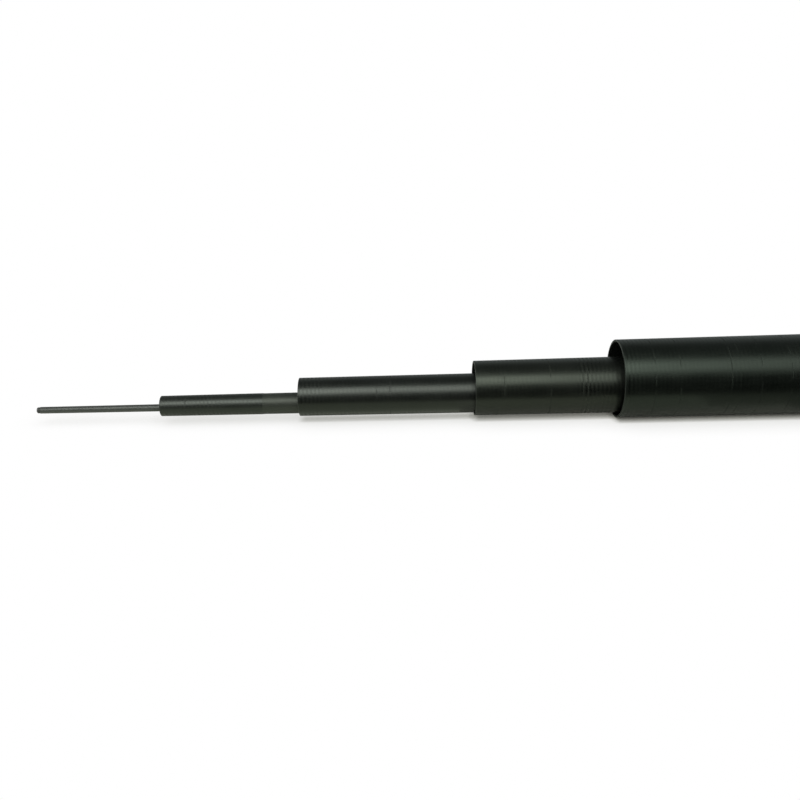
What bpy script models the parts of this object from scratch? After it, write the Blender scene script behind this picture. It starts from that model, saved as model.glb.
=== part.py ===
"""Coarse fishing pole with five telescopic sections, drawn part way out and lying on a table.

Metres, +Z up. The pole lies along X with its tip towards -X. The origin is the centre of the butt
cap's outer face. Every section is a tapered carbon tube, thin end out. Its cross sections stand
upright, so that the lower edges of the tubes lie level on the table or in the tube around them.
"""

import math

import bmesh
import bpy

# Butt section, the thickest tube
BUTT_LENGTH = 1.200
BUTT_MOUTH_OD = 0.0430
BUTT_END_OD = 0.0525

# Outside diameters at the mouths, the thin ends of the other sections
FOURTH_MOUTH_OD = 0.0304
THIRD_MOUTH_OD = 0.0214
SECOND_MOUTH_OD = 0.0113
TIP_MOUTH_OD = 0.0038

# Walls of the sections
BUTT_WALL = 0.0011
FOURTH_WALL = 0.0010
THIRD_WALL = 0.0009
SECOND_WALL = 0.0008
TIP_WALL = 0.00075

# How far each section now stands out of the mouth of the thicker one
FOURTH_SHOWN = 0.0780
THIRD_SHOWN = 0.0972
SECOND_SHOWN = 0.0780
TIP_SHOWN = 0.0697

# Length of each section that stays inside the thicker one when it is drawn out and jams
FOURTH_HELD = 0.100
THIRD_HELD = 0.085
SECOND_HELD = 0.070
TIP_HELD = 0.055

# How far up the bore, from its bottom, each section has rolled at the mouth that it comes out of
FOURTH_ROLLED = math.radians(21)
THIRD_ROLLED = math.radians(0)
SECOND_ROLLED = math.radians(0)
TIP_ROLLED = math.radians(45)

# Sliding fit, steps of the closed nest, and the rounding of cut edges
SLIDE_CLEARANCE = 0.0003
CLOSED_STEP = 0.015
LIP_ROUND = 0.0002

# Wrapped band at the mouth of the second section
BAND_LENGTH = 0.0572
BAND_RISE = 0.0001
BAND_RUN_OUT = 0.0004

# Gap left where two fixed pieces seat on each other or are bonded
SEAT_GAP = 0.0003

# Bush in the tip
BUSH_BORE = 0.0011
BUSH_SLEEVE = 0.006
BUSH_LIP = 0.0014
BUSH_LIP_STEPS = 6

# Butt ferrule
FERRULE_LENGTH = 0.016
FERRULE_WALL = 0.0034
FERRULE_FLANGE = 0.0016
FERRULE_INSET = 0.0002

# Butt cap
CAP_HEAD_LENGTH = 0.012
CAP_HEAD_INSET = 0.0005
CAP_EDGE = 0.0012
CAP_PLUG_LENGTH = 0.016
THREAD_CLEARANCE = 0.0003
CAP_CUP_WALL = 0.0028
CAP_CUP_DEPTH = 0.009
KNURL_FLUTES = 30
KNURL_DEPTH = 0.0007
KNURL_POINTS = 4

# Rubber pad, and how far it stands out of the cap
PAD_PROUD = 0.0045
PAD_EDGE = 0.0008

# Groove behind the cap's head, and the O-ring in it
GROOVE_DEPTH = 0.0020
O_RING_SIDES = 12

# Flat sides of a full circle, and the angle from which an edge is a crisp one
SIDES = 48
TIP_SIDES = 32
SHARP_ANGLE = math.radians(30)


class Ring:
    """One upright cross section: a circle of points about (y, z) at x."""

    def __init__(self, x, radius, y=0.0, z=0.0):
        self.x = x
        self.radius = radius
        self.y = y
        self.z = z

    def points(self, sides, depth_of=None):
        for step in range(sides):
            # The half step puts a flat side, not a corner, at the bottom.
            turn = 2 * math.pi * (step + 0.5) / sides
            radius = self.radius - (depth_of(step) if depth_of else 0.0)
            yield self.x, self.y + radius * math.sin(turn), self.z - radius * math.cos(turn)


class Section:
    """A tapered tube with a straight centre line, given by its centres (y, z) at both ends."""

    def __init__(self, mouth_x, length, mouth_od, end_od, wall):
        self.mouth_x = mouth_x
        self.end_x = mouth_x + length
        self.mouth_radius = mouth_od / 2
        self.end_radius = end_od / 2
        self.wall = wall
        self.centre_at_mouth = (0.0, 0.0)
        self.centre_at_end = (0.0, 0.0)

    def share(self, x):
        return (x - self.mouth_x) / (self.end_x - self.mouth_x)

    def radius(self, x):
        return self.mouth_radius + self.share(x) * (self.end_radius - self.mouth_radius)

    def bore(self, x):
        return self.radius(x) - self.wall

    def centre(self, x):
        share = self.share(x)
        return tuple(a + share * (b - a) for a, b in zip(self.centre_at_mouth, self.centre_at_end))

    def ring(self, x, radius):
        return Ring(x, radius, *self.centre(x))

    def lying_centre(self, x, radius, rolled):
        """Centre of a round piece of this radius that lies in the bore at x."""
        room = self.bore(x) - radius - SLIDE_CLEARANCE
        y, z = self.centre(x)
        return y + room * math.sin(rolled), z - room * math.cos(rolled)

    def lay_in(self, outer, rolled):
        """Lays the section in the outer one's bore: on its bottom at the end, rolled at the mouth."""
        end = outer.lying_centre(self.end_x, self.end_radius, 0.0)
        held = outer.lying_centre(outer.mouth_x, self.radius(outer.mouth_x), rolled)
        reach = (self.end_x - self.mouth_x) / (self.end_x - outer.mouth_x)
        self.centre_at_end = end
        self.centre_at_mouth = tuple(b + reach * (a - b) for a, b in zip(held, end))

    def mouth_point(self):
        return (self.mouth_x, *self.centre_at_mouth)


def material(name, color, roughness, metallic=0.0):
    made = bpy.data.materials.new(name)
    made.use_nodes = True
    shader = made.node_tree.nodes["Principled BSDF"]
    shader.inputs["Base Color"].default_value = (*color, 1.0)
    shader.inputs["Roughness"].default_value = roughness
    shader.inputs["Metallic"].default_value = metallic
    return made


def joint(name, location, parent=None):
    """An empty that a moving piece hangs from, on the axis of its joint."""
    empty = bpy.data.objects.new(name, None)
    bpy.context.scene.collection.objects.link(empty)
    empty.location = location
    hang(empty, parent)
    return empty


def hang(made, parent):
    """Parents a piece without moving it."""
    if parent:
        bpy.context.view_layer.update()
        made.parent = parent
        made.matrix_parent_inverse = parent.matrix_world.inverted()


def lofted(name, rings, finish, sides=SIDES, hollow=False, depths=None, on=None):
    """A solid through the rings. A hollow one closes on its first ring, another has flat ends.

    depths gives, for the index of a ring, a function of how deep each of its points is cut in.
    """
    bm = bmesh.new()
    cut = depths or {}
    loops = [
        [bm.verts.new(point) for point in ring.points(sides, cut.get(index))]
        for index, ring in enumerate(rings)
    ]
    following = loops[1:] + loops[:1] if hollow else loops[1:]
    for near, far in zip(loops, following):
        for i in range(sides):
            j = (i + 1) % sides
            bm.faces.new((near[i], near[j], far[j], far[i]))
    if not hollow:
        bm.faces.new(loops[0])
        bm.faces.new(loops[-1])
    bmesh.ops.recalc_face_normals(bm, faces=bm.faces)
    mesh = bpy.data.meshes.new(name)
    bm.to_mesh(mesh)
    bm.free()
    mesh.shade_smooth()
    mesh.set_sharp_from_angle(angle=SHARP_ANGLE)
    mesh.materials.append(finish)
    made = bpy.data.objects.new(name, mesh)
    bpy.context.scene.collection.objects.link(made)
    hang(made, on)
    return made


def tube(name, section, finish, sides=SIDES, band_length=0.0, on=None):
    """The wall of a section: rings along its outside to the end, then back along its bore."""
    start, end = section.mouth_x, section.end_x
    rise = BAND_RISE if band_length else 0.0
    rings = [
        section.ring(start, section.radius(start) + rise - LIP_ROUND),
        section.ring(start + LIP_ROUND, section.radius(start + LIP_ROUND) + rise),
    ]
    if band_length:
        band_end = start + band_length
        plain_start = band_end + BAND_RUN_OUT
        rings.append(section.ring(band_end, section.radius(band_end) + rise))
        rings.append(section.ring(plain_start, section.radius(plain_start)))
    rings += [
        section.ring(end - LIP_ROUND, section.radius(end - LIP_ROUND)),
        section.ring(end, section.radius(end) - LIP_ROUND),
        section.ring(end, section.bore(end)),
        section.ring(start, section.bore(start)),
    ]
    return lofted(name, rings, finish, sides, hollow=True, on=on)


for leftover in list(bpy.data.objects):
    bpy.data.objects.remove(leftover)

carbon = material("carbon", (0.018, 0.020, 0.019), roughness=0.42)
ground_carbon = material("ground_carbon", (0.045, 0.048, 0.045), roughness=0.50)
anodised = material("anodised", (0.020, 0.020, 0.022), roughness=0.35, metallic=1.0)
rubber = material("rubber", (0.015, 0.015, 0.015), roughness=0.80)
bush_plastic = material("bush_plastic", (0.050, 0.052, 0.050), roughness=0.55)

# Butt section, level on the table along its lower side
butt_end_x = -(CAP_HEAD_LENGTH + SEAT_GAP + FERRULE_FLANGE + SEAT_GAP)
butt = Section(butt_end_x - BUTT_LENGTH, BUTT_LENGTH, BUTT_MOUTH_OD, BUTT_END_OD, BUTT_WALL)
flat_share = math.cos(math.pi / SIDES)
butt.centre_at_mouth = (0.0, flat_share * (butt.mouth_radius - butt.end_radius))
tube("butt_section", butt, carbon)

# The closed sections end on the pad, or on the ferrule where that reaches further in
plug_end_x = -CAP_HEAD_LENGTH - CAP_PLUG_LENGTH
pad_face_x = plug_end_x - PAD_PROUD
ferrule_in_x = butt_end_x - FERRULE_LENGTH
closed_end_x = min(pad_face_x, ferrule_in_x) - SLIDE_CLEARANCE


def nested(outer, order, mouth_od, wall, shown, held, rolled):
    """A section that slides in the outer one, laid where it now is. Closed, it ends on the pad."""
    length = closed_end_x - (butt.mouth_x - order * CLOSED_STEP)
    end_od = 2 * (outer.bore(outer.mouth_x + held) - SLIDE_CLEARANCE)
    section = Section(outer.mouth_x - shown, length, mouth_od, end_od, wall)
    section.lay_in(outer, rolled)
    return section


# Fourth section
fourth = nested(butt, 1, FOURTH_MOUTH_OD, FOURTH_WALL, FOURTH_SHOWN, FOURTH_HELD, FOURTH_ROLLED)
fourth_slide = joint("fourth_slide", butt.mouth_point())
tube("fourth_section", fourth, carbon, on=fourth_slide)

# Third section
third = nested(fourth, 2, THIRD_MOUTH_OD, THIRD_WALL, THIRD_SHOWN, THIRD_HELD, THIRD_ROLLED)
third_slide = joint("third_slide", fourth.mouth_point(), fourth_slide)
tube("third_section", third, carbon, on=third_slide)

# Second section, with a wrapped band at its mouth and a ground, unpainted finish behind it
second = nested(third, 3, SECOND_MOUTH_OD, SECOND_WALL, SECOND_SHOWN, SECOND_HELD, SECOND_ROLLED)
second_slide = joint("second_slide", third.mouth_point(), third_slide)
tube("second_section", second, ground_carbon, band_length=BAND_LENGTH, on=second_slide)

# Tip section
tip = nested(second, 4, TIP_MOUTH_OD, TIP_WALL, TIP_SHOWN, TIP_HELD, TIP_ROLLED)
tip_slide = joint("tip_slide", second.mouth_point(), second_slide)
tube("tip_section", tip, ground_carbon, TIP_SIDES, on=tip_slide)

# Tip bush: a sleeve bonded in the bore of the tip, with a half-round lip over its cut end
lip_back_x = tip.mouth_x - SEAT_GAP
sleeve_end_x = tip.mouth_x + BUSH_SLEEVE
lip_radius = tip.mouth_radius - LIP_ROUND
bush_rings = [
    tip.ring(sleeve_end_x, BUSH_BORE / 2),
    tip.ring(sleeve_end_x, tip.bore(sleeve_end_x) - SEAT_GAP),
    tip.ring(lip_back_x, tip.bore(tip.mouth_x) - SEAT_GAP),
    tip.ring(lip_back_x, lip_radius),
]
nose_radius = (lip_radius - BUSH_BORE / 2) / 2
nose_x = lip_back_x - BUSH_LIP + nose_radius
for step in range(BUSH_LIP_STEPS + 1):
    turn = math.pi * step / BUSH_LIP_STEPS
    out = BUSH_BORE / 2 + nose_radius * (1 + math.cos(turn))
    bush_rings.append(tip.ring(nose_x - nose_radius * math.sin(turn), out))
lofted("tip_bush", bush_rings, bush_plastic, TIP_SIDES, hollow=True, on=tip_slide)

# Butt ferrule: threaded collar bonded in the butt section, with a flange over its cut end
flange_in_x = butt_end_x + SEAT_GAP
flange_out_x = flange_in_x + FERRULE_FLANGE
flange_radius = butt.end_radius - FERRULE_INSET
thread_radius = butt.bore(ferrule_in_x) - SEAT_GAP - FERRULE_WALL
ferrule_rings = [
    Ring(ferrule_in_x, thread_radius),
    butt.ring(ferrule_in_x, butt.bore(ferrule_in_x) - SEAT_GAP),
    butt.ring(flange_in_x, butt.bore(butt_end_x) - SEAT_GAP),
    Ring(flange_in_x, flange_radius),
    Ring(flange_out_x, flange_radius),
    Ring(flange_out_x, thread_radius),
]
lofted("butt_ferrule", ferrule_rings, anodised, hollow=True)

# Butt cap: knurled head, then a threaded plug with a groove for the O-ring and a cup for the pad
cap_travel = joint("cap_travel", (0.0, 0.0, 0.0))
cap_turn = joint("cap_turn", (0.0, 0.0, 0.0), cap_travel)
head_radius = butt.end_radius - CAP_HEAD_INSET
edge_radius = head_radius - KNURL_DEPTH - CAP_EDGE
head_in_x = -CAP_HEAD_LENGTH
plug_radius = thread_radius - THREAD_CLEARANCE
cup_radius = plug_radius - CAP_CUP_WALL
cup_floor_x = plug_end_x + CAP_CUP_DEPTH
o_ring_radius = (GROOVE_DEPTH + THREAD_CLEARANCE) / 2 - SEAT_GAP
groove_length = 2 * (o_ring_radius + SEAT_GAP)
groove_radius = plug_radius - GROOVE_DEPTH


def flute_depth(step):
    """How deep the knurl is cut at each point round the head, in even shallow flutes."""
    return KNURL_DEPTH * (1 - math.cos(2 * math.pi * step / KNURL_POINTS)) / 2


cap_rings = [
    Ring(0.0, edge_radius),
    Ring(-CAP_EDGE, head_radius),
    Ring(head_in_x + CAP_EDGE, head_radius),
    Ring(head_in_x, edge_radius),
    Ring(head_in_x, groove_radius),
    Ring(head_in_x - groove_length, groove_radius),
    Ring(head_in_x - groove_length, plug_radius),
    Ring(plug_end_x, plug_radius),
    Ring(plug_end_x, cup_radius),
    Ring(cup_floor_x, cup_radius),
]
knurled = {1: flute_depth, 2: flute_depth}
lofted("butt_cap", cap_rings, anodised, KNURL_FLUTES * KNURL_POINTS, depths=knurled, on=cap_turn)

# Cap pad: rubber disc pressed in the cup of the cap, proud of it so that the sections land on it
pad_radius = cup_radius - SEAT_GAP
pad_rings = [
    Ring(cup_floor_x - SEAT_GAP, pad_radius),
    Ring(pad_face_x + PAD_EDGE, pad_radius),
    Ring(pad_face_x, pad_radius - PAD_EDGE),
]
lofted("cap_pad", pad_rings, rubber, on=cap_travel)

# Cap O-ring: in the groove behind the head, between the cap and the bore of the ferrule
o_ring_x = head_in_x - groove_length / 2
o_ring_rings = []
for step in range(O_RING_SIDES):
    turn = 2 * math.pi * step / O_RING_SIDES
    out = groove_radius + SEAT_GAP + o_ring_radius * (1 + math.cos(turn))
    o_ring_rings.append(Ring(o_ring_x + o_ring_radius * math.sin(turn), out))
lofted("cap_o_ring", o_ring_rings, rubber, hollow=True, on=cap_travel)
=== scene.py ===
"""Looks of a coarse fishing pole that lies on a white table, drawn part way out.

Metres, in the frame of the solids: X runs along the pole towards its butt, +Z is up. The sections
follow as the pole is put together, from the thick butt section to the tip, and then the closing
pieces at the butt. All of them take their places and radii from the solids.
"""

import math

import bpy
from mathutils import Matrix, Vector


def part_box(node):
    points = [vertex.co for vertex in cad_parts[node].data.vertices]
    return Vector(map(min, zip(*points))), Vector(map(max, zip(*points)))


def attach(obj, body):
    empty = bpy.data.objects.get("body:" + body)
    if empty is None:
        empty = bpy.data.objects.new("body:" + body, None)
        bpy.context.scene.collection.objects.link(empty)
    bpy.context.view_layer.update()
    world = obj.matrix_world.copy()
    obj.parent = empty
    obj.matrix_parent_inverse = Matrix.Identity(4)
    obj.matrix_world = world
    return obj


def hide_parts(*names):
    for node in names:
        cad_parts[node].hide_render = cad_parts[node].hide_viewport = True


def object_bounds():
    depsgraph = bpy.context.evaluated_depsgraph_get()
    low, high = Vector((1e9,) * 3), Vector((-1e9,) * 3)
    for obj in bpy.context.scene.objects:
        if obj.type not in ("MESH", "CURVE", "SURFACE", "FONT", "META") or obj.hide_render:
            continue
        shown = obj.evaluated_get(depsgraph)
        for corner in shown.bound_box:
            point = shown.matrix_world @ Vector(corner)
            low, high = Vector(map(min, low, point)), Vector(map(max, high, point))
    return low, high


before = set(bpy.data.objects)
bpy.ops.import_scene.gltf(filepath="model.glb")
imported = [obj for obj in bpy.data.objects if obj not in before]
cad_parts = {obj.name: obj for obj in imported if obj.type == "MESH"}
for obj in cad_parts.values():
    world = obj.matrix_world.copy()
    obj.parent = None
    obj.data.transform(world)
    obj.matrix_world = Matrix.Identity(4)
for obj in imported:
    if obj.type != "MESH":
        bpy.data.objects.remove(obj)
cad_low, cad_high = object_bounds()

# Camera: close to the thin end of the pole, a little in front of it and above it, and slightly
# tilted, so that the butt section runs off the right edge of the view.
CAMERA_TARGET = Vector((-1.33341, 0.0, -0.01489))
CAMERA_DISTANCE = 0.4589
CAMERA_ELEVATION = math.radians(22)
CAMERA_YAW = -0.0100
CAMERA_ROLL = -0.0248
CAMERA_LENS = 37.0
NEAREST_SEEN = 0.01

turned = Matrix.Rotation(-CAMERA_YAW, 4, "Z")
tipped = Matrix.Rotation(math.pi / 2 - CAMERA_ELEVATION, 4, "X")
rolled = Matrix.Rotation(CAMERA_ROLL, 4, "Z")
aim = turned @ tipped @ rolled
behind = aim @ Vector((0.0, 0.0, CAMERA_DISTANCE))
bpy.ops.object.camera_add(location=CAMERA_TARGET + behind.to_3d(), rotation=aim.to_euler())
camera = bpy.context.object
camera.data.lens = CAMERA_LENS
camera.data.clip_start = NEAREST_SEEN
bpy.context.scene.camera = camera
bpy.context.scene.view_settings.view_transform = "Standard"

# Table: a matt white top without edges. The eye sees it as a plain white glow, with the pole's
# shadow painted into it from how much of the sky the pole hides nearby: a deep one where the pole
# all but touches it, and a soft one that leans to the front, towards the lamps.
TABLE_SIZE = 60.0
TABLE_WHITE = (0.85, 0.87, 0.76)

# A painted shadow: how far the sky it is drawn from leans to the front, how near the pole has to
# be, and how deep it is.
SHADOWS = ((math.radians(0), 0.004, 0.65), (math.radians(35), 0.020, 0.47))
SHADOW_SAMPLES = 4
# The painted shadow turns a little warmer as it deepens.
SHADOW_WARMTH = 1.08

# The pole reflects the plain white only from this far beside it, and nearer to it the lit top.
REFLECTED_FROM = 0.09
REFLECTED_FADE = 0.08


class Value:
    """An output in a node tree. Arithmetic on it adds Math nodes, and node() adds any other one."""

    def __init__(self, tree, socket=None):
        self.tree = tree
        self.socket = socket

    def node(self, kind, settings=None, sockets=None, output=0):
        made = self.tree.nodes.new("ShaderNode" + kind)
        for name, setting in (settings or {}).items():
            if name == "stops":
                ramp = made.color_ramp.elements
                while len(ramp) < len(setting):
                    ramp.new(1.0)
                for stop, (place, shade) in zip(ramp, setting):
                    stop.position = place
                    stop.color = (shade, shade, shade, 1.0)
            else:
                setattr(made, name, setting)
        for name, value in (sockets or {}).items():
            if isinstance(value, Value):
                self.tree.links.new(value.socket, made.inputs[name])
            else:
                made.inputs[name].default_value = value
        return Value(self.tree, made.outputs[output] if made.outputs else None)

    def math(self, operation, *values):
        return self.node("Math", {"operation": operation}, dict(enumerate(values)))

    def __add__(self, other):
        return self.math("ADD", self, other)

    def __sub__(self, other):
        return self.math("SUBTRACT", self, other)

    def __rsub__(self, other):
        return self.math("SUBTRACT", other, self)

    def __mul__(self, other):
        return self.math("MULTIPLY", self, other)

    def __truediv__(self, other):
        return self.math("DIVIDE", self, other)

    def __pow__(self, other):
        return self.math("POWER", self, other)

    __radd__ = __add__
    __rmul__ = __mul__


def held(value, low=0.0, high=1.0):
    """A value that stays between two limits."""
    return value.math("MINIMUM", value.math("MAXIMUM", value, low), high)


def seen_directly(start):
    """1 for what the camera sees, also reflected or through glass, and 0 for all other light."""
    camera_ray = start.node("LightPath", output="Is Camera Ray")
    glossy_ray = start.node("LightPath", output="Is Glossy Ray")
    transmission_ray = start.node("LightPath", output="Is Transmission Ray")
    return camera_ray + glossy_ray + transmission_ray


bpy.ops.object.select_all(action="DESELECT")
bpy.ops.mesh.primitive_plane_add(size=TABLE_SIZE, location=(0.0, 0.0, cad_low.z))
table = bpy.context.object
table.name = "table_top"
white = bpy.data.materials.new("white_table")
white.use_nodes = True
white.node_tree.nodes.clear()
start = Value(white.node_tree)
shadow_painted_level = 1.0
for tilt, reach, depth in SHADOWS:
    painted_shadow_lean = {"X": 0.0, "Y": -math.sin(tilt), "Z": math.cos(tilt)}
    sockets = {"Distance": reach, "Normal": start.node("CombineXYZ", sockets=painted_shadow_lean)}
    light_left = start.node("AmbientOcclusion", {"samples": SHADOW_SAMPLES}, sockets, output="AO")
    shadow_painted_level = shadow_painted_level - (1.0 - light_left) * depth
shadow_painted_level = held(shadow_painted_level)
painted_shadow_colour = {"X": shadow_painted_level, "Y": shadow_painted_level, "Z": shadow_painted_level ** SHADOW_WARMTH}
shade = start.node("CombineXYZ", sockets=painted_shadow_colour)
# The eye sees this glow with the shadow painted into it, and not the lit top.
shown = start.node("Emission", sockets={"Color": shade, "Strength": 1.0})
lit = start.node("BsdfDiffuse", sockets={"Color": (*TABLE_WHITE, 1.0)})
place = start.node("TexCoord", output="Object")
beside = start.math("ABSOLUTE", start.node("SeparateXYZ", sockets={0: place}, output="Y"))
far = held((beside - REFLECTED_FROM) / REFLECTED_FADE)
camera_ray = start.node("LightPath", output="Is Camera Ray")
shows = held(camera_ray + seen_directly(start) * far)
mixed = start.node("MixShader", sockets={0: shows, 1: lit, 2: shown})
start.node("OutputMaterial", sockets={"Surface": mixed})
table.data.materials.append(white)

# Studio: white air all round, which lights the pole softly from every side. It is a little dimmer
# as light than it is to the eye.
AMBIENT = 0.95

studio = bpy.data.worlds.new("studio")
studio.use_nodes = True
studio.node_tree.nodes.clear()
start = Value(studio.node_tree)
glow = seen_directly(start) * (1.0 - AMBIENT) + AMBIENT
air = start.node("Background", sockets={"Color": (1.0, 1.0, 1.0, 1.0), "Strength": glow})
start.node("OutputWorld", sockets={"Surface": air})
bpy.context.scene.world = studio

# Lamps: a row of softboxes in front of the pole and above it. The brightest faces the thin end, and
# the dimmer ones light the butt and the room that the drawn-out pole reaches into. Their sheen is
# what the glossy tubes reflect of them.
LAMP_ELEVATION = math.radians(52.5)
LAMP_DISTANCE = 1.0
LAMP_HEIGHT = 0.56
LAMP_RADIANCE = 0.5
SHEEN_NEARER = 0.05
AXIS_Z = -0.012


def softbox(name, left_x, right_x, radiance, distance):
    """A rectangular lamp beside the pole's axis, turned to it."""
    out = Vector((0.0, -math.cos(LAMP_ELEVATION), math.sin(LAMP_ELEVATION))) * distance
    turn = (math.pi / 2 - LAMP_ELEVATION, 0.0, 0.0)
    place = Vector(((left_x + right_x) / 2, 0.0, AXIS_Z)) + out
    bpy.ops.object.light_add(type="AREA", location=place, rotation=turn)
    lamp = bpy.context.object
    lamp.name = name
    lamp.data.shape = "RECTANGLE"
    lamp.data.size = right_x - left_x
    lamp.data.size_y = LAMP_HEIGHT
    lamp.data.energy = radiance * math.pi * (right_x - left_x) * LAMP_HEIGHT
    lamp.visible_camera = False
    return lamp


# The sheen has lamps of its own, a little nearer, because of two in one place only one shines.
for name, left_x, right_x, sheen in (
    ("drawn_out_lamp", -6.6, -2.2, 3.2),
    ("thin_end_lamp", -2.2, -1.45, 4.4),
    ("middle_lamp", -1.45, -1.15, 3.3),
    ("mouth_lamp", -1.15, -0.77, 2.0),
    ("butt_lamp", -0.77, 0.5, 0.8),
):
    light = softbox(name, left_x, right_x, LAMP_RADIANCE, LAMP_DISTANCE + SHEEN_NEARER)
    light.visible_glossy = False
    reflected = softbox(name + "_sheen", left_x, right_x, sheen, LAMP_DISTANCE)
    reflected.visible_diffuse = False

# Cards: flat sheets that glow with their own colour and are seen in reflections only, so what they
# give the tubes is painted reflection. The black ones in front and the dark one overhead give the
# round tubes their dark bands, the ones under the pole set how bright the lower sides are, and the
# grey ones behind take the glare off the upper edges.
CARD_OVER_TABLE = 0.001
LEFT_X = -7.0
RIGHT_X = 1.5
ALL_ALONG = (LEFT_X, RIGHT_X)
FRONT_Y = -1.0
BACK_Y = 1.0
TOP_Z = 1.0
BLACK = (0.0, 0.0, 0.0)
DARK_GREY = (0.12, 0.13, 0.13)
WALL_GREY = (0.33, 0.36, 0.355)
BACK_GREY = (0.37, 0.40, 0.395)
THIN_END_GREY = (0.62, 0.66, 0.54)
MOUTH_GREY = (0.37, 0.38, 0.33)
BUTT_GREY = (0.29, 0.30, 0.26)


def card(name, low, high, colour):
    """A card between two corners, level or upright, that glows with its colour in reflections only.
    """
    size = high - low
    bpy.ops.object.select_all(action="DESELECT")
    bpy.ops.mesh.primitive_plane_add(size=1.0)
    made = bpy.context.object
    made.name = name
    if size.z:
        made.rotation_euler = (math.pi / 2, 0.0, 0.0)
        made.scale = (size.x, size.z, 1.0)
    else:
        made.scale = (size.x, size.y, 1.0)
    made.location = (low + high) / 2
    bpy.ops.object.transform_apply()
    reflection_glow = bpy.data.materials.new(name)
    reflection_glow.use_nodes = True
    reflection_glow.node_tree.nodes.clear()
    start = Value(reflection_glow.node_tree)
    shown = start.node("Emission", sockets={"Color": (*colour, 1.0), "Strength": 1.0})
    start.node("OutputMaterial", sockets={"Surface": shown})
    made.data.materials.append(reflection_glow)
    made.visible_camera = False
    made.visible_diffuse = False
    made.visible_shadow = False
    made.visible_transmission = False


floor_z = cad_low.z + CARD_OVER_TABLE
level = (floor_z, floor_z)
for name, x_span, y_span, z_span, colour in (
    ("front_card", ALL_ALONG, (FRONT_Y, -0.050), level, BLACK),
    ("thin_front_card", (LEFT_X, -1.22), (-0.050, -0.043), level, BLACK),
    ("thin_end_card", (-1.62, -1.30), (-0.040, -0.003), level, THIN_END_GREY),
    ("mouth_card", (-1.165, -1.12), (-0.050, -0.022), level, MOUTH_GREY),
    ("butt_card", (-1.12, RIGHT_X), (-0.050, -0.012), level, BUTT_GREY),
    ("front_wall_card", ALL_ALONG, (FRONT_Y, FRONT_Y), (floor_z, 0.60), BLACK),
    ("top_card", ALL_ALONG, (-0.38, BACK_Y), (TOP_Z, TOP_Z), DARK_GREY),
    ("back_wall_card", ALL_ALONG, (BACK_Y, BACK_Y), (floor_z, TOP_Z), WALL_GREY),
    ("back_card", ALL_ALONG, (0.10, BACK_Y), level, BACK_GREY),
):
    low, high = map(Vector, zip(x_span, y_span, z_span))
    card(name, low, high, colour)

# Butt section: the thickest blank, a tapered tube of carbon cloth wound on a mandrel, cured under a
# spiral of shrink tape and lacquered satin black. The tape leaves fine ridges, and its laps a few
# ring marks. The cut mouth is rounded and painted a little lighter, partly as wear and partly as a
# painted highlight where the lip catches the light.
SOLID_SIDES = 48
BLANK_SIDES = 128
LIP_ROUND = 0.0002
BORE_ROUND = 0.00012
CORNER_STEPS = 4
RING_STEP = 0.05
SAME_PLACE = 1e-6
SOFT_EDGE = math.radians(35)

# How many of each pattern come to a metre, and for the long ones what share of that along X.
CLOUDS = 70.0
GRAINS = 1500.0
WAVES = 90.0
WAVES_ALONG = 0.6
RUBS = 900.0
RUBS_ALONG = 0.04
STREAKS_ALONG = 0.05
RIDGE_PATCHES = 60.0
RIDGE_LEAST = 0.4
MARK_PATCHES = 120.0
SPECKS = 2600.0

TAPE_PITCH = 0.0022
RIDGE_DULLING = 0.22
MARK_WIDTH = 0.00035
MARK_DEPTH = 0.00006
MARK_DULLING = 0.30
GRAIN_HEIGHT = 0.000003
WAVE_HEIGHT = 0.00003
LIP_WEAR_AND_HIGHLIGHT_LENGTH = 0.0005
WORN_DULLING = 0.15
LIP_WEAR_AND_HIGHLIGHT_SHADE = (0.020, 0.022, 0.020)
SPECK_SHARE = 0.5
SPECK_SHADE = (0.030, 0.032, 0.028)
PROFILE_LENGTH = 0.12
BORE_GLOSS = 0.3
BORE_SHADE = (0.0015, 0.0018, 0.0017)
BORE_SHEEN = (0.80, 1.0, 0.83)


def rings(node):
    """The rings of points of a turned solid along X: each one's centre, and its radii in order."""
    points = [vertex.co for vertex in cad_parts[node].data.vertices]
    found = []
    for x in sorted({round(point.x, 6) for point in points}):
        ring = [point for point in points if abs(point.x - x) < SAME_PLACE]
        centre = (Vector(map(min, *ring)) + Vector(map(max, *ring))) / 2
        radii = {round((point - centre).length, 6) for point in ring}
        found.append((centre, sorted(radii)))
    return found


class Blank:
    """A tapered tube with the centres, outer radii and bores of its solid at the two ends.

    The solid's sides are flat, and the round tube stays within them, by flat_share. The outside at
    the mouth is given without the rise of a band.
    """

    def __init__(self, node, flat_share, rise=0.0):
        (self.mouth, near), *_, (self.end, far) = rings(node)
        self.mouth_bore, self.end_bore = near[0], far[0]
        self.mouth_radius = near[-1] * flat_share + LIP_ROUND - rise
        self.end_radius = far[-1] * flat_share + LIP_ROUND
        self.lean = (self.end - self.mouth) / (self.end.x - self.mouth.x)

    def share(self, x):
        return (x - self.mouth.x) / (self.end.x - self.mouth.x)

    def centre(self, x):
        return self.mouth.lerp(self.end, self.share(x))

    def radius(self, x):
        return self.mouth_radius + self.share(x) * (self.end_radius - self.mouth_radius)

    def bore(self, x):
        return self.mouth_bore + self.share(x) * (self.end_bore - self.mouth_bore)


def arc(x, radius, bend, start, finish, steps=CORNER_STEPS):
    """Stations, each an x and a radius, of a rounded corner between two angles in degrees."""
    for step in range(steps + 1):
        turn = math.radians(start + (finish - start) * step / steps)
        yield x + bend * math.cos(turn), radius + bend * math.sin(turn)


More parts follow.
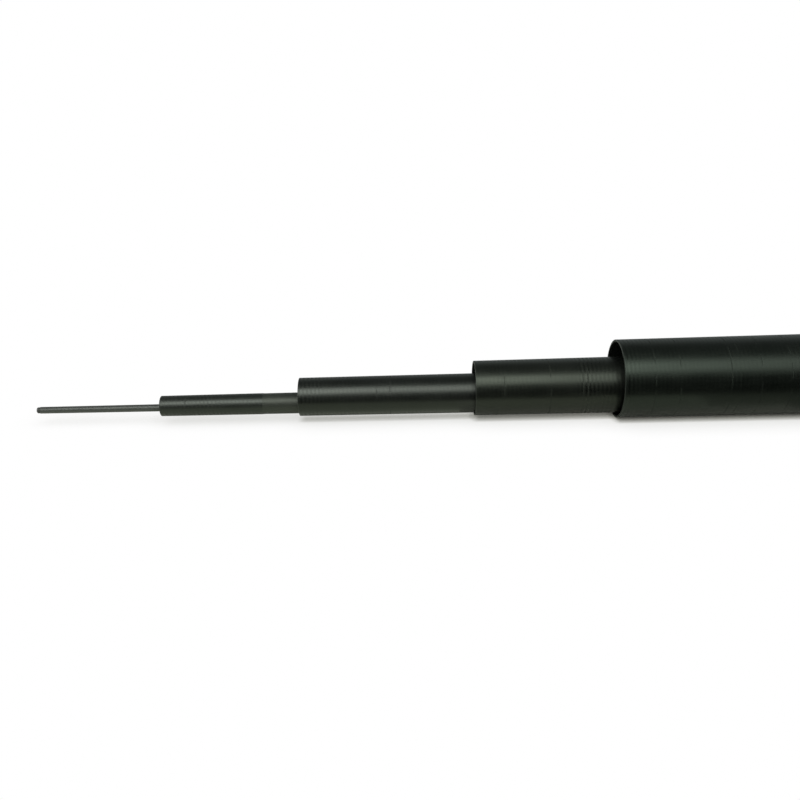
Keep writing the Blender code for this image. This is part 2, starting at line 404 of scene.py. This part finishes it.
def wall(shape, rise=0.0, outside=()):
    """Stations round the wall of a blank: rounded lips, the outside at even steps, and the bore."""
    start, end = shape.mouth.x, shape.end.x
    yield from arc(start + LIP_ROUND, shape.mouth_radius + rise - LIP_ROUND, LIP_ROUND, 180, 90)
    yield from outside
    run_start = outside[-1][0] if outside else start + LIP_ROUND
    steps = math.ceil((end - LIP_ROUND - run_start) / RING_STEP)
    for step in range(1, steps):
        x = run_start + (end - LIP_ROUND - run_start) * step / steps
        yield x, shape.radius(x)
    yield from arc(end - LIP_ROUND, shape.end_radius - LIP_ROUND, LIP_ROUND, 90, 0)
    yield from arc(end - BORE_ROUND, shape.end_bore + BORE_ROUND, BORE_ROUND, 0, -90)
    yield from arc(start + BORE_ROUND, shape.mouth_bore + BORE_ROUND, BORE_ROUND, -90, -180)


def turned_piece(name, stations, sides, centre_at, hollow=True):
    """A round piece: a circle extruded from station to station, then closed on itself or filled."""
    stations = list(stations)
    x, radius = stations[0]
    bpy.ops.object.select_all(action="DESELECT")
    upright = (0.0, math.pi / 2, 0.0)
    bpy.ops.mesh.primitive_circle_add(
        vertices=sides, radius=radius, location=centre_at(x), rotation=upright
    )
    made = bpy.context.object
    made.name = name
    bpy.ops.object.transform_apply()
    bpy.ops.object.mode_set(mode="EDIT")
    bpy.ops.mesh.select_all(action="SELECT")
    for next_x, next_radius in stations[1:]:
        move = centre_at(next_x) - centre_at(x)
        bpy.ops.mesh.extrude_region_move(TRANSFORM_OT_translate={"value": move})
        grow = next_radius / radius
        bpy.ops.transform.resize(value=(1.0, grow, grow), center_override=centre_at(next_x))
        x, radius = next_x, next_radius
    bpy.ops.mesh.select_all(action="DESELECT")
    bpy.ops.mesh.select_mode(type="EDGE")
    bpy.ops.mesh.select_non_manifold()
    if hollow:
        bpy.ops.mesh.bridge_edge_loops()
    else:
        bpy.ops.mesh.fill_holes(sides=0)
    bpy.ops.mesh.select_mode(type="VERT")
    bpy.ops.mesh.select_all(action="SELECT")
    bpy.ops.mesh.normals_make_consistent(inside=False)
    bpy.ops.object.mode_set(mode="OBJECT")
    bpy.ops.object.shade_smooth_by_angle(angle=SOFT_EDGE)
    return made


def line_with_bore(piece, shape, finish, lining):
    """Gives the outside and the cut ends of a blank their finish, and its bore the bare lining."""
    piece.data.materials.append(finish)
    piece.data.materials.append(lining)
    for face in piece.data.polygons:
        x = face.center.x
        edge = shape.bore(x) + (shape.radius(x) - shape.bore(x)) / 4
        inside = (face.center - shape.centre(x)).length < edge
        face.material_index = 1 if inside else 0


def part(value, axis):
    return value.node("SeparateXYZ", sockets={0: value}, output=axis)


def point(x, y, z):
    start = next(value for value in (x, y, z) if isinstance(value, Value))
    return start.node("CombineXYZ", sockets={"X": x, "Y": y, "Z": z})


def noise(place, scale, detail=2.0):
    return place.node("TexNoise", sockets={"Vector": place, "Scale": scale, "Detail": detail})


def swing(value, amount):
    """A noise about its middle, made this strong."""
    return (value - 0.5) * amount


def blended(share, first, second):
    """A colour between two, by a share from 0 to 1."""
    first, second = ((*c, 1.0) if isinstance(c, tuple) else c for c in (first, second))
    return share.node("Mix", {"data_type": "RGBA"}, {0: share, 6: first, 7: second}, output=2)


def new_finish(name, gloss, sheen=(1.0, 1.0, 1.0)):
    """A material with a sheen of this strength and colour, its shader and a start for its nodes."""
    made = bpy.data.materials.new(name)
    made.use_nodes = True
    shader = made.node_tree.nodes["Principled BSDF"]
    shader.inputs["Specular IOR Level"].default_value = gloss
    shader.inputs["Specular Tint"].default_value = (*sheen, 1.0)
    return made, shader, Value(made.node_tree)


def feed(shader, start, colour, roughness, height):
    """Links a colour, a roughness and a height in metres to a shader."""
    bump = start.node("Bump", sockets={"Strength": 1.0, "Distance": 1.0, "Height": height})
    start.tree.links.new(colour.socket, shader.inputs["Base Color"])
    start.tree.links.new(roughness.socket, shader.inputs["Roughness"])
    start.tree.links.new(bump.socket, shader.inputs["Normal"])


def round_the_blank(start, shape):
    """A point on a blank, how far it is from the mouth, and across and up from the centre line."""
    place = start.node("TexCoord", output="Object")
    from_mouth = part(place, "X") - shape.mouth.x
    across = part(place, "Y") - (from_mouth * shape.lean.y + shape.mouth.y)
    up = part(place, "Z") - (from_mouth * shape.lean.z + shape.mouth.z)
    return place, from_mouth, across, up


def wound_carbon(name, shape, dark, light, roughness, gloss, sheen, ridge_height, ridged, marks):
    """Satin lacquer over wound carbon, with the ridges of the tape and ring marks from its laps.

    ridged gives how strong the ridges are at distances from the mouth, up to PROFILE_LENGTH. marks
    gives each mark's distance, and how far round it reaches: half way at 0, further above it.
    """
    made, shader, start = new_finish(name, gloss, sheen)
    place, from_mouth, across, up = round_the_blank(start, shape)
    turns = start.math("ARCTAN2", up, across) / (2 * math.pi)

    cloud = noise(place, CLOUDS)
    grain = noise(place, GRAINS)
    wave = noise(point(from_mouth * WAVES_ALONG, across, up), WAVES, 1.0)
    rubbed = noise(point(from_mouth * RUBS_ALONG, across, up), RUBS)

    # The tape ridges wind round the blank and come and go along it.
    stops = [(distance / PROFILE_LENGTH, strength) for distance, strength in ridged]
    strength = start.node("ValToRGB", {"stops": stops}, {0: from_mouth / PROFILE_LENGTH})
    patch = noise(point(from_mouth, 0.0, 0.0), RIDGE_PATCHES, 1.0)
    patch = held(patch * 1.5, RIDGE_LEAST)
    phase = (from_mouth / TAPE_PITCH - turns) * (2 * math.pi)
    ridge = start.math("COSINE", phase) * 0.5 * strength * patch

    height = ridge * ridge_height + grain * GRAIN_HEIGHT + wave * WAVE_HEIGHT
    dulled = ridge * RIDGE_DULLING
    for distance, reach in marks:
        near = held(1.0 - start.math("ABSOLUTE", from_mouth - distance) / MARK_WIDTH)
        present = held((noise(place, MARK_PATCHES, 0.0) - 0.5 + reach) * 10.0)
        height = height - near * present * MARK_DEPTH
        dulled = dulled + near * present * MARK_DULLING

    # The cut mouth is painted lighter, partly as wear and partly as a painted highlight of its lip.
    lip_wear_and_highlight = held(1.0 - from_mouth / LIP_WEAR_AND_HIGHLIGHT_LENGTH)
    specks = held((noise(place, SPECKS, 0.0) - 0.80) * 20.0)
    colour = blended(held(cloud * 1.6 - 0.3), dark, light)
    colour = blended(specks * SPECK_SHARE, colour, SPECK_SHADE)
    colour = blended(lip_wear_and_highlight, colour, LIP_WEAR_AND_HIGHLIGHT_SHADE)
    rough = swing(cloud, 0.08) + swing(grain, 0.10) + swing(rubbed, 0.10) + roughness
    feed(shader, start, colour, rough + dulled + lip_wear_and_highlight * WORN_DULLING, height)
    return made


def bare_bore(name):
    """Bare resin inside a blank, as smooth as the mandrel left it, with faint streaks along it."""
    made, shader, start = new_finish(name, BORE_GLOSS, BORE_SHEEN)
    place = start.node("TexCoord", output="Object")
    along = part(place, "X") * STREAKS_ALONG
    streak = noise(point(along, part(place, "Y"), part(place, "Z")), RUBS)
    colour = blended(streak, BORE_SHADE, tuple(2.0 * shade for shade in BORE_SHADE))
    feed(shader, start, colour, streak * 0.2 + 0.5, streak * GRAIN_HEIGHT)
    return made


flat_share = math.cos(math.pi / SOLID_SIDES)
butt = Blank("butt_section", flat_share)
butt_section = turned_piece("butt_blank", wall(butt), BLANK_SIDES, butt.centre)
lining = bare_bore("bore_resin")
butt_lacquer = wound_carbon(
    "butt_lacquer",
    butt,
    dark=(0.0013, 0.0017, 0.0015),
    light=(0.0030, 0.0036, 0.0031),
    roughness=0.36,
    gloss=0.40,
    sheen=(0.80, 1.0, 0.80),
    ridge_height=0.000018,
    ridged=((0.0, 0.3), (0.002, 0.9), (0.008, 0.7), (0.012, 0.3), (0.12, 0.3)),
    marks=(
        (0.0161, 0.10),
        (0.0294, 0.02),
        (0.0560, 0.12),
        (0.0607, 0.0),
        (0.0720, 0.10),
        (0.0876, 0.05),
    ),
)
line_with_bore(butt_section, butt, butt_lacquer, lining)
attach(butt_section, "butt")
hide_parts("butt_section")

# Fourth section: the next blank, wound and lacquered in the same way, with the tape ridges plainest
# where it goes into the butt section.
fourth = Blank("fourth_section", flat_share)
fourth_section = turned_piece("fourth_blank", wall(fourth), BLANK_SIDES, fourth.centre)
fourth_lacquer = wound_carbon(
    "fourth_lacquer",
    fourth,
    dark=(0.0022, 0.0028, 0.0023),
    light=(0.0048, 0.0055, 0.0048),
    roughness=0.36,
    gloss=0.45,
    sheen=(0.87, 1.0, 0.80),
    ridge_height=0.000036,
    ridged=(
        (0.0, 0.3),
        (0.012, 0.4),
        (0.030, 0.3),
        (0.054, 0.3),
        (0.057, 0.8),
        (0.074, 0.7),
        (0.080, 0.4),
    ),
    marks=((0.0155, -0.06), (0.0405, 0.10), (0.0577, 0.10), (0.0604, 0.06)),
)
line_with_bore(fourth_section, fourth, fourth_lacquer, lining)
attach(fourth_section, "fourth")
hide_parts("fourth_section")

# Third section: the middle blank, wound and lacquered like the others. Its tape ridges are plainest
# at the mouth.
third = Blank("third_section", flat_share)
third_section = turned_piece("third_blank", wall(third), BLANK_SIDES, third.centre)
third_lacquer = wound_carbon(
    "third_lacquer",
    third,
    dark=(0.0025, 0.0033, 0.0026),
    light=(0.0055, 0.0065, 0.0055),
    roughness=0.36,
    gloss=0.50,
    sheen=(0.91, 1.0, 0.88),
    ridge_height=0.000044,
    ridged=((0.0, 0.4), (0.003, 0.9), (0.011, 0.9), (0.015, 0.4), (0.12, 0.3)),
    marks=((0.0435, -0.16), (0.0507, 0.15)),
)
line_with_bore(third_section, third, third_lacquer, lining)
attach(third_section, "third")
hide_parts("third_section")

# Second section: its mouth is strengthened by a band of extra cloth, wound on and lacquered, which
# stands a tenth of a millimetre proud. Behind the band the blank is ground and left bare, so it is
# greyer and duller there.
BAND_LENGTH = 0.0572
BAND_RISE = 0.0001
BAND_TAIL = 0.02
BAND_RUN_OUT = (
    (-0.00005, 1.0),
    (0.00005, 0.88),
    (0.00020, 0.35),
    (0.00032, 0.08),
    (0.00045, 0.0),
)
BAND_LACQUER_PAST = 0.0003

GROUND_CLOUDS = 90.0
GROUND_GRAINS = 2500.0
GRINDING_RINGS = 5200.0
RINGS_ACROSS = 0.02
GROUND_RUBS = 1400.0
RING_HEIGHT = 0.000004
GROUND_GRAIN_HEIGHT = 0.000004
CLOUD_HEIGHT = 0.00002


def ground_carbon(name, shape, dark, light, roughness, gloss, sheen):
    """Carbon that a grinding belt has left dull, with fine rings round it and rubs along it."""
    made, shader, start = new_finish(name, gloss, sheen)
    place, from_mouth, across, up = round_the_blank(start, shape)
    cloud = noise(place, GROUND_CLOUDS)
    grain = noise(place, GROUND_GRAINS)
    ring_place = point(from_mouth, across * RINGS_ACROSS, up * RINGS_ACROSS)
    ring = noise(ring_place, GRINDING_RINGS, 1.0)
    rubbed = noise(point(from_mouth * RUBS_ALONG, across, up), GROUND_RUBS)
    colour = blended(held(cloud * 0.8 + ring * 0.5 - 0.2), dark, light)
    rough = swing(ring, 0.15) + swing(rubbed, 0.10) + roughness
    height = ring * RING_HEIGHT + grain * GROUND_GRAIN_HEIGHT + cloud * CLOUD_HEIGHT
    feed(shader, start, colour, rough, height)
    return made


second = Blank("second_section", flat_share, rise=BAND_RISE)
band_end = second.mouth.x + BAND_LENGTH
tail_start = band_end - BAND_TAIL
band_outside = [(tail_start, second.radius(tail_start) + BAND_RISE)]
for way, share in BAND_RUN_OUT:
    x = band_end + way
    band_outside.append((x, second.radius(x) + BAND_RISE * share))
second_wall = wall(second, BAND_RISE, band_outside)
second_section = turned_piece("second_blank", second_wall, BLANK_SIDES, second.centre)
band_lacquer = wound_carbon(
    "band_lacquer",
    second,
    dark=(0.0055, 0.0072, 0.0056),
    light=(0.0095, 0.0112, 0.0095),
    roughness=0.40,
    gloss=0.56,
    sheen=(0.91, 1.0, 0.88),
    ridge_height=0.000024,
    ridged=(
        (0.0, 0.2),
        (0.005, 0.5),
        (0.018, 0.5),
        (0.022, 0.9),
        (0.036, 0.8),
        (0.045, 0.5),
        (0.12, 0.2),
    ),
    marks=((0.0145, -0.03), (0.0270, -0.10)),
)
second_ground = ground_carbon(
    "second_ground",
    second,
    dark=(0.016, 0.019, 0.016),
    light=(0.024, 0.027, 0.023),
    roughness=0.48,
    gloss=0.50,
    sheen=(0.92, 1.0, 0.84),
)
line_with_bore(second_section, second, band_lacquer, lining)
second_section.data.materials.append(second_ground)
for face in second_section.data.polygons:
    if face.center.x > band_end + BAND_LACQUER_PAST and face.material_index == 0:
        face.material_index = 2
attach(second_section, "second")
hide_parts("second_section")

# Tip section: the thinnest blank, wound on a fine mandrel, ground to its taper and left bare and
# dark grey.
TIP_SIDES = 64
TIP_SOLID_SIDES = 32

tip = Blank("tip_section", math.cos(math.pi / TIP_SOLID_SIDES))
tip_section = turned_piece("tip_blank", wall(tip), TIP_SIDES, tip.centre)
tip_ground = ground_carbon(
    "tip_ground",
    tip,
    dark=(0.034, 0.038, 0.034),
    light=(0.050, 0.054, 0.049),
    roughness=0.46,
    gloss=0.50,
    sheen=(0.94, 1.0, 0.92),
)
line_with_bore(tip_section, tip, tip_ground, lining)
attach(tip_section, "tip")
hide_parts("tip_section")

# Tip bush: a grey plastic sleeve bonded in the bore of the tip. Its half-round lip covers the cut
# end, so that a line that runs out of the pole doesn't chafe.
BUSH_SIDES = 48
BUSH_LIP_STEPS = 12
BUSH_EDGE = 0.00006
BUSH_GLOSS = 0.45
BUSH_MOTTLES = 1200.0
BUSH_FLECKS = 6000.0
FLECK_HEIGHT = 0.000004
BUSH_DARK = (0.030, 0.033, 0.030)
BUSH_LIGHT = (0.044, 0.047, 0.042)

(nose, _), *_, (lip_back, lip_radii), (sleeve_end, sleeve_radii) = rings("tip_bush")
hole = sleeve_radii[0]
lip_radius = lip_radii[-1]
sleeve_at_lip = lip_radii[0]
sleeve_at_end = sleeve_radii[-1]
bend = (lip_radius - hole) / 2
# The outline runs along the sleeve, round the lip and back through the hole.
bush_stations = [
    (sleeve_end.x, hole + BUSH_EDGE),
    (sleeve_end.x, sleeve_at_end - BUSH_EDGE),
    (sleeve_end.x - BUSH_EDGE, sleeve_at_end),
    (lip_back.x, sleeve_at_lip),
    (lip_back.x, lip_radius - BUSH_EDGE),
    (lip_back.x - BUSH_EDGE, lip_radius),
    *arc(nose.x + bend, hole + bend, bend, 90, 270, BUSH_LIP_STEPS),
    (sleeve_end.x - BUSH_EDGE, hole),
]
tip_bush = turned_piece("bush", bush_stations, BUSH_SIDES, tip.centre)
plastic, shader, start = new_finish("bush_plastic", BUSH_GLOSS)
place = start.node("TexCoord", output="Object")
mottle = noise(place, BUSH_MOTTLES)
fleck = noise(place, BUSH_FLECKS, 1.0)
colour = blended(mottle, BUSH_DARK, BUSH_LIGHT)
feed(shader, start, colour, fleck * 0.2 + 0.40, fleck * FLECK_HEIGHT)
tip_bush.data.materials.append(plastic)
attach(tip_bush, "tip")
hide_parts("tip_bush")

# Butt ferrule: a collar turned from aluminium and anodised black, bonded in the end of the butt
# section with a flange over its cut end. Inside it has a coarse round thread, and a plain land at
# the mouth for the O-ring.
METAL_SIDES = 144
THREAD_PITCH = 0.003
THREAD_DEPTH = 0.0006
THREAD_PLAY = 0.00012
THREAD_STEP = 0.00025
THREAD_RUN_OUT = 0.0010
METAL_EDGE = 0.0003
SEAL_LAND = 0.0042
FLANGE_RUB = 0.0004
METAL_GLOSS = 0.5
LATHE_RINGS = 4000.0
METAL_CLOUDS = 250.0
METAL_GRAINS = 3000.0
LATHE_HEIGHT = 0.000003
METAL_GRAIN_HEIGHT = 0.000002
RUB_SHARE = 0.35
ANODISED_SHADE = (0.030, 0.030, 0.032)
ANODISED_LIGHT = (0.048, 0.048, 0.050)
BARE_METAL = (0.45, 0.45, 0.46)


def on_axis(x):
    return Vector((x, 0.0, 0.0))


def thread_wave(position, low_x, high_x):
    """How far a right-hand thread stands out at a point: -1 to 1, and nought past its run-outs."""
    turn = math.atan2(position.z, position.y) / (2 * math.pi)
    ends = min(position.x - low_x, high_x - position.x) / THREAD_RUN_OUT
    return math.cos(2 * math.pi * (position.x / THREAD_PITCH - turn)) * min(max(ends, 0.0), 1.0)


def cut_thread(piece, radius, low_x, high_x):
    """Moves the points of a cylinder of this radius in and out into a thread."""
    for vertex in piece.data.vertices:
        out = Vector((0.0, vertex.co.y, vertex.co.z))
        on_cylinder = abs(out.length - radius) < 10 * SAME_PLACE
        if on_cylinder and low_x <= vertex.co.x <= high_x:
            depth = thread_wave(vertex.co, low_x, high_x) * THREAD_DEPTH / 2
            vertex.co += out.normalized() * depth


def thread_run(radius, from_x, to_x):
    """Close stations along a cylinder that is to be threaded."""
    steps = round(abs(to_x - from_x) / THREAD_STEP)
    for step in range(steps + 1):
        yield from_x + (to_x - from_x) * step / steps, radius


def anodised(name, worn_from, worn_to):
    """Black anodised aluminium with lathe rings, rubbed bright where the radius is largest."""
    made, shader, start = new_finish(name, METAL_GLOSS)
    shader.inputs["Metallic"].default_value = 1.0
    place = start.node("TexCoord", output="Object")
    y, z = part(place, "Y"), part(place, "Z")
    radius = start.math("SQRT", y * y + z * z)
    lathe = noise(point(part(place, "X"), radius, 0.0), LATHE_RINGS, 1.0)
    cloud = noise(place, METAL_CLOUDS)
    grain = noise(place, METAL_GRAINS)
    rub = held((radius - worn_from) / (worn_to - worn_from)) * held(cloud * 3.0 - 1.4)
    colour = blended(held(lathe * 0.6 + cloud * 0.6 - 0.1), ANODISED_SHADE, ANODISED_LIGHT)
    colour = blended(rub * RUB_SHARE, colour, BARE_METAL)
    rough = lathe * 0.12 + grain * 0.10 + 0.24
    feed(shader, start, colour, rough, lathe * LATHE_HEIGHT + grain * METAL_GRAIN_HEIGHT)
    return made


(inner, inner_radii), (flange_in, flange_in_radii), (flange_out, _) = rings("butt_ferrule")
bore_radius = inner_radii[0]
sleeve_in = inner_radii[-1] * flat_share
sleeve_out = flange_in_radii[0] * flat_share
flange_radius = flange_in_radii[-1] * flat_share
land_x = flange_out.x - SEAL_LAND
# The outline runs along the sleeve, round the flange and back through the bore.
ferrule_stations = [
    (inner.x, bore_radius + 2 * METAL_EDGE),
    (inner.x, sleeve_in - METAL_EDGE),
    (inner.x + METAL_EDGE, sleeve_in),
    (flange_in.x, sleeve_out),
    *arc(flange_in.x + METAL_EDGE, flange_radius - METAL_EDGE, METAL_EDGE, 180, 90),
    *arc(flange_out.x - METAL_EDGE, flange_radius - METAL_EDGE, METAL_EDGE, 90, 0),
    (flange_out.x, bore_radius + 2 * METAL_EDGE),
    (flange_out.x - 2 * METAL_EDGE, bore_radius),
    *thread_run(bore_radius, land_x, inner.x + 2 * METAL_EDGE),
]
butt_ferrule = turned_piece("ferrule", ferrule_stations, METAL_SIDES, on_axis)
cut_thread(butt_ferrule, bore_radius, inner.x + METAL_EDGE, land_x)
ferrule_finish = anodised("ferrule_anodising", flange_radius - FLANGE_RUB, flange_radius)
butt_ferrule.data.materials.append(ferrule_finish)
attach(butt_ferrule, "butt")
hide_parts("butt_ferrule")

# Butt cap: turned from aluminium and anodised black. Its head has a fluted rim for the fingers and
# a turned line on its flat face. The threaded plug behind it holds the O-ring and the rubber pad.
KNURL_FLUTES = 30
KNURL_DEPTH = 0.0007
FLUTE_POINTS = 8
FLUTE_START = 0.125
FLUTE_WIDENING = 0.75
FACE_LINE_RADIUS = 0.0190
FACE_LINE_WIDTH = 0.0005
FACE_LINE_DEPTH = 0.00025
CAP_CORNER = 0.0004
SLOPE_STEPS = 6
RIM_STEPS = 4
RIM_RUB = 0.0003

(
    (plug_end, _),
    (cup_floor, cup_radii),
    (groove_in, groove_radii),
    (head_in, _),
    (rim_in, rim_radii),
    (rim_out, _),
    (face, face_radii),
) = rings("butt_cap")
edge_radius = face_radii[-1]
head_radius = rim_radii[-1]
groove_radius = groove_radii[0]
plug_radius = bore_radius - THREAD_DEPTH / 2 - THREAD_PLAY
cup_radius = cup_radii[0]
# The outline runs from the line on the face over the rim, along the plug and into the cup.
cap_stations = [
    (face.x, FACE_LINE_RADIUS - FACE_LINE_WIDTH),
    (face.x - FACE_LINE_DEPTH, FACE_LINE_RADIUS - FACE_LINE_WIDTH / 2),
    (face.x - FACE_LINE_DEPTH, FACE_LINE_RADIUS + FACE_LINE_WIDTH / 2),
    (face.x, FACE_LINE_RADIUS + FACE_LINE_WIDTH),
    (face.x, edge_radius - CAP_CORNER),
    (face.x - CAP_CORNER / 3, edge_radius),
]
for step in range(1, SLOPE_STEPS + 1):
    share = step / SLOPE_STEPS
    x = face.x - CAP_CORNER / 3 + (rim_out.x - face.x + CAP_CORNER / 3) * share
    cap_stations.append((x, edge_radius + (head_radius - edge_radius) * share))
for step in range(1, RIM_STEPS + 1):
    cap_stations.append((rim_out.x + (rim_in.x - rim_out.x) * step / RIM_STEPS, head_radius))
for step in range(1, SLOPE_STEPS + 1):
    share = step / SLOPE_STEPS
    x = rim_in.x + (head_in.x - rim_in.x) * share
    cap_stations.append((x, head_radius + (edge_radius - head_radius) * share))
cap_stations += [
    (head_in.x, groove_radius + METAL_EDGE),
    (head_in.x - METAL_EDGE, groove_radius),
    (groove_in.x + METAL_EDGE, groove_radius),
    (groove_in.x, groove_radius + METAL_EDGE),
    (groove_in.x, plug_radius - METAL_EDGE),
    *thread_run(plug_radius, groove_in.x - METAL_EDGE, plug_end.x + 2 * METAL_EDGE),
    (plug_end.x, plug_radius - 2 * METAL_EDGE),
    *arc(plug_end.x + METAL_EDGE, cup_radius + METAL_EDGE, METAL_EDGE, 180, 270),
    (cup_floor.x - METAL_EDGE, cup_radius),
    (cup_floor.x, cup_radius - METAL_EDGE),
]
cap_sides = KNURL_FLUTES * FLUTE_POINTS
butt_cap = turned_piece("cap", cap_stations, cap_sides, on_axis, hollow=False)
cut_thread(butt_cap, plug_radius, plug_end.x + METAL_EDGE, groove_in.x - METAL_EDGE)
# The flutes lie where the solid has its own, and are a little wider.
for vertex in butt_cap.data.vertices:
    out = Vector((0.0, vertex.co.y, vertex.co.z))
    flute = math.atan2(out.y, -out.z) / (2 * math.pi) * KNURL_FLUTES - FLUTE_START
    depth = KNURL_DEPTH * (0.5 - 0.5 * math.cos(2 * math.pi * flute)) ** FLUTE_WIDENING
    if out.length > head_radius - depth:
        vertex.co -= out.normalized() * (out.length - head_radius + depth)
cap_finish = anodised("cap_anodising", head_radius - RIM_RUB, head_radius)
butt_cap.data.materials.append(cap_finish)
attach(butt_cap, "cap")
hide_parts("butt_cap")

# Cap pad: a moulded rubber disc pressed in the cup of the cap. The closed sections land on it, and
# their ends have left faint rings in its face.
PAD_SIDES = 96
PAD_BACK_EDGE = 0.0002
PAD_ROUND_STEPS = 8
RUBBER_GLOSS = 0.35
RUBBER_BLOOM = 160.0
RUBBER_GRAINS = 4000.0
RUBBER_GRAIN_HEIGHT = 0.000010
RUBBER_DARK = (0.0060, 0.0060, 0.0060)
RUBBER_LIGHT = (0.0130, 0.0130, 0.0125)
PRINT_WIDTH = 0.0006
PRINT_DEPTH = 0.00005
PRINT_POLISH = 0.12


def moulded_rubber(name, prints=()):
    """Matt black rubber with a fine grain and bloom, pressed in along rings of the given radii."""
    made, shader, start = new_finish(name, RUBBER_GLOSS)
    place = start.node("TexCoord", output="Object")
    y, z = part(place, "Y"), part(place, "Z")
    radius = start.math("SQRT", y * y + z * z)
    bloom = noise(place, RUBBER_BLOOM, 3.0)
    grain = noise(place, RUBBER_GRAINS)
    height = grain * RUBBER_GRAIN_HEIGHT
    rough = bloom * 0.15 + grain * 0.15 + 0.55
    for print_radius in prints:
        near = held(1.0 - start.math("ABSOLUTE", radius - print_radius) / PRINT_WIDTH)
        height = height - near * PRINT_DEPTH
        rough = rough - near * PRINT_POLISH
    colour = blended(held(bloom * 2.0 - 0.5), RUBBER_DARK, RUBBER_LIGHT)
    feed(shader, start, colour, rough, height)
    return made


(pad_face, _), (pad_edge, pad_radii), (pad_back, _) = rings("cap_pad")
pad_radius = pad_radii[-1] * flat_share
pad_round = pad_edge.x - pad_face.x
pad_stations = [
    (pad_back.x, pad_radius - PAD_BACK_EDGE),
    (pad_back.x - PAD_BACK_EDGE, pad_radius),
    *arc(pad_face.x + pad_round, pad_radius - pad_round, pad_round, 90, 180, PAD_ROUND_STEPS),
]
cap_pad = turned_piece("pad", pad_stations, PAD_SIDES, on_axis, hollow=False)
section_ends = [blank.end_radius for blank in (third, second, tip)]
cap_pad.data.materials.append(moulded_rubber("pad_rubber", section_ends))
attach(cap_pad, "cap_seals")
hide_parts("cap_pad")

# Cap O-ring: a moulded rubber ring in the groove behind the head, with the faint line of its mould
# round it. It keeps water out and stops the cap working loose.
O_RING_STEPS = 24
MOULD_LINE = 0.00004

o_ring_low, o_ring_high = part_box("cap_o_ring")
o_ring_x = (o_ring_low.x + o_ring_high.x) / 2
o_ring_bend = (o_ring_high.x - o_ring_low.x) / 2
o_ring_out = max(radii[-1] for _, radii in rings("cap_o_ring"))
o_ring_stations = list(arc(o_ring_x, o_ring_out - o_ring_bend, o_ring_bend, 105, 450, O_RING_STEPS))
cap_o_ring = turned_piece("o_ring", o_ring_stations, PAD_SIDES, on_axis)
for vertex in cap_o_ring.data.vertices:
    out = Vector((0.0, vertex.co.y, vertex.co.z))
    if out.length > o_ring_out - SAME_PLACE:
        vertex.co += out.normalized() * MOULD_LINE
cap_o_ring.data.materials.append(moulded_rubber("o_ring_rubber"))
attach(cap_o_ring, "cap_seals")
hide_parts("cap_o_ring")
